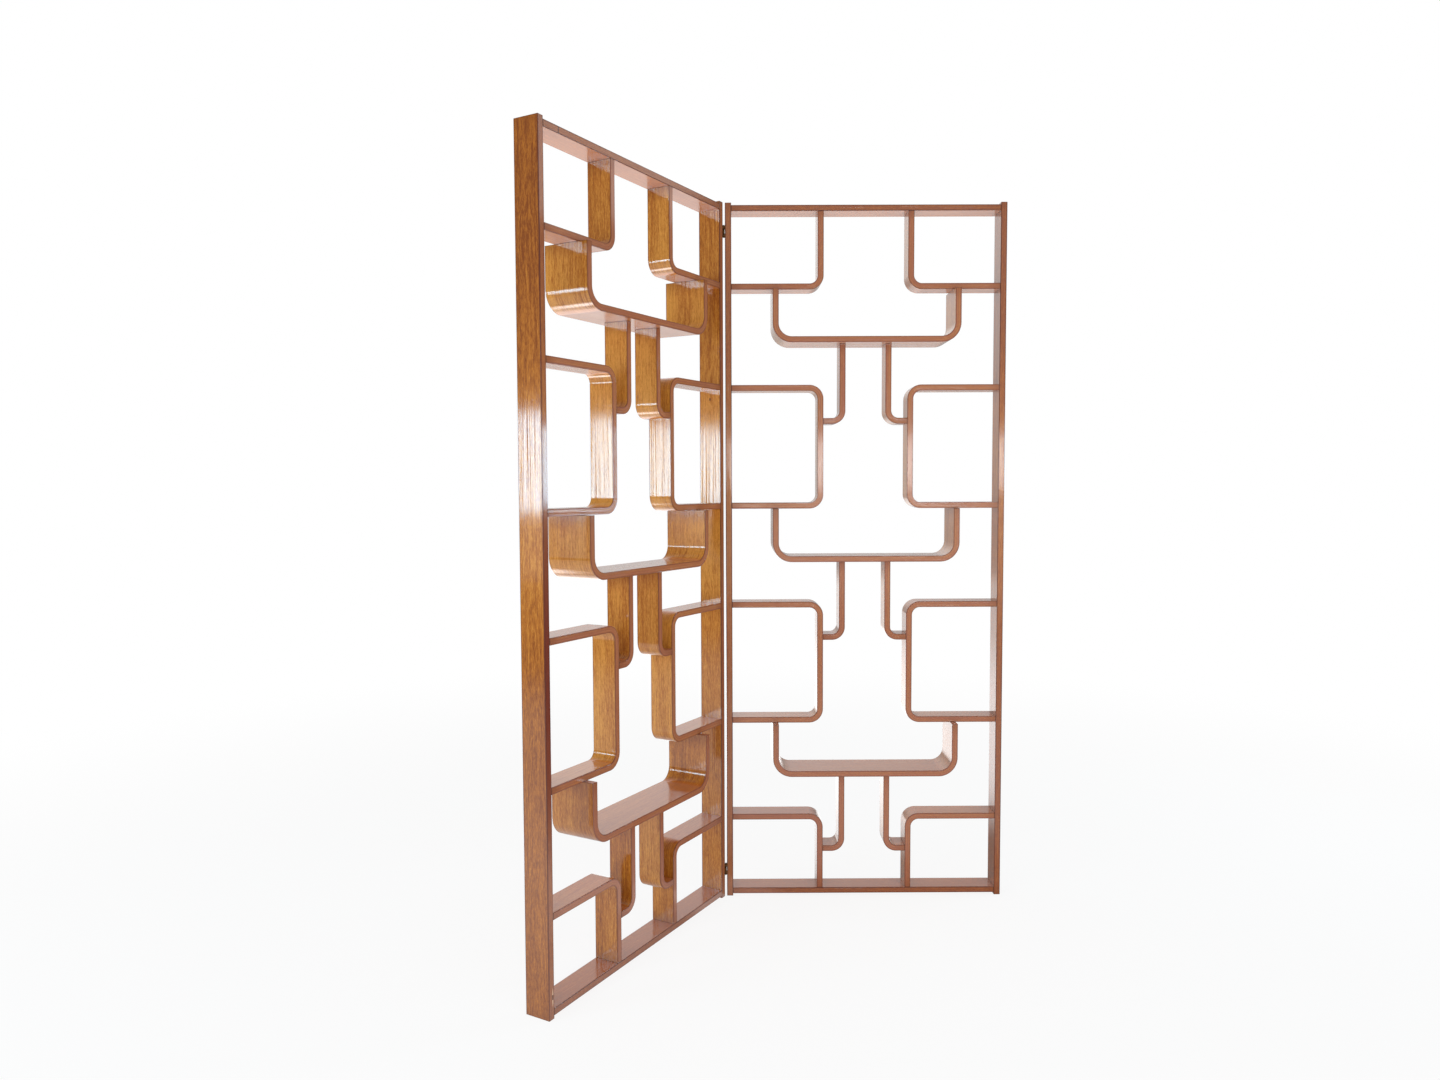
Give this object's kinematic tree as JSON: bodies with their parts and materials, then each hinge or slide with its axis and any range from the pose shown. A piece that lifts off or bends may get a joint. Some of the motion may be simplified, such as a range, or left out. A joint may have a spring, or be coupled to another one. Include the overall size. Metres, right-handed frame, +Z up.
{
  "type": "room divider",
  "caption": "Folding room divider: hinged lattice panels of bent laminated board, with posts, rails, elbows, loops, hooks and deeper hanging trays.",
  "frame": {"origin": "on the floor, under the middle of the whole divider's box as it stands open at 120 degrees", "axes": "+Z up; +X from the left panel to the right panel as seen from the open side; -Y out of the open side, towards the viewer"},
  "size_m": [1.715, 0.5382, 2.35],
  "materials": {
    "post_board": "glossy lacquered veneer",
    "rail_board": "glossy lacquered veneer",
    "bent_board": "glossy lacquered veneer over bent laminations",
    "dowel_beech": "plain",
    "hinge_brass": "dulled",
    "pin_steel": "dulled",
    "screw_brass": "dulled"
  },
  "bodies": {
    "right_panel": {"right_inner_post": "post_board", "right_outer_post": "post_board", "right_top_rail": "rail_board", "right_bottom_rail": "rail_board", "right_inner_top_elbow": "bent_board", "right_inner_bottom_elbow": "bent_board", "right_inner_upper_loop": "bent_board", "right_inner_lower_loop": "bent_board", "right_inner_upper_hook": "bent_board", "right_inner_middle_hook": "bent_board", "right_inner_lower_hook": "bent_board", "right_outer_top_elbow": "bent_board", "right_outer_bottom_elbow": "bent_board", "right_outer_upper_loop": "bent_board", "right_outer_lower_loop": "bent_board", "right_outer_upper_hook": "bent_board", "right_outer_middle_hook": "bent_board", "right_outer_lower_hook": "bent_board", "right_upper_tray": "bent_board", "right_middle_tray": "bent_board", "right_lower_tray": "bent_board", "right_rail_dowels": "dowel_beech", "right_side_dowels": "dowel_beech", "right_middle_dowels": "dowel_beech", "right_hinge_screws": "screw_brass", "upper_hinge_right_leaf": "hinge_brass", "upper_hinge_pin": "pin_steel", "lower_hinge_right_leaf": "hinge_brass", "lower_hinge_pin": "pin_steel"},
    "left_panel": {"left_inner_post": "post_board", "left_outer_post": "post_board", "left_top_rail": "rail_board", "left_bottom_rail": "rail_board", "left_inner_top_elbow": "bent_board", "left_inner_bottom_elbow": "bent_board", "left_inner_upper_loop": "bent_board", "left_inner_lower_loop": "bent_board", "left_inner_upper_hook": "bent_board", "left_inner_middle_hook": "bent_board", "left_inner_lower_hook": "bent_board", "left_outer_top_elbow": "bent_board", "left_outer_bottom_elbow": "bent_board", "left_outer_upper_loop": "bent_board", "left_outer_lower_loop": "bent_board", "left_outer_upper_hook": "bent_board", "left_outer_middle_hook": "bent_board", "left_outer_lower_hook": "bent_board", "left_upper_tray": "bent_board", "left_middle_tray": "bent_board", "left_lower_tray": "bent_board", "left_rail_dowels": "dowel_beech", "left_side_dowels": "dowel_beech", "left_middle_dowels": "dowel_beech", "left_hinge_screws": "screw_brass", "upper_hinge_left_leaf": "hinge_brass", "lower_hinge_left_leaf": "hinge_brass"}
  },
  "joints": [
    {"name": "panel_fold", "type": "hinge", "parent": "right_panel", "child": "left_panel", "pos_m": [0, 0.20149, 0], "axis": [0, 0, 1], "range_deg": [-60, 95]}
  ]
}
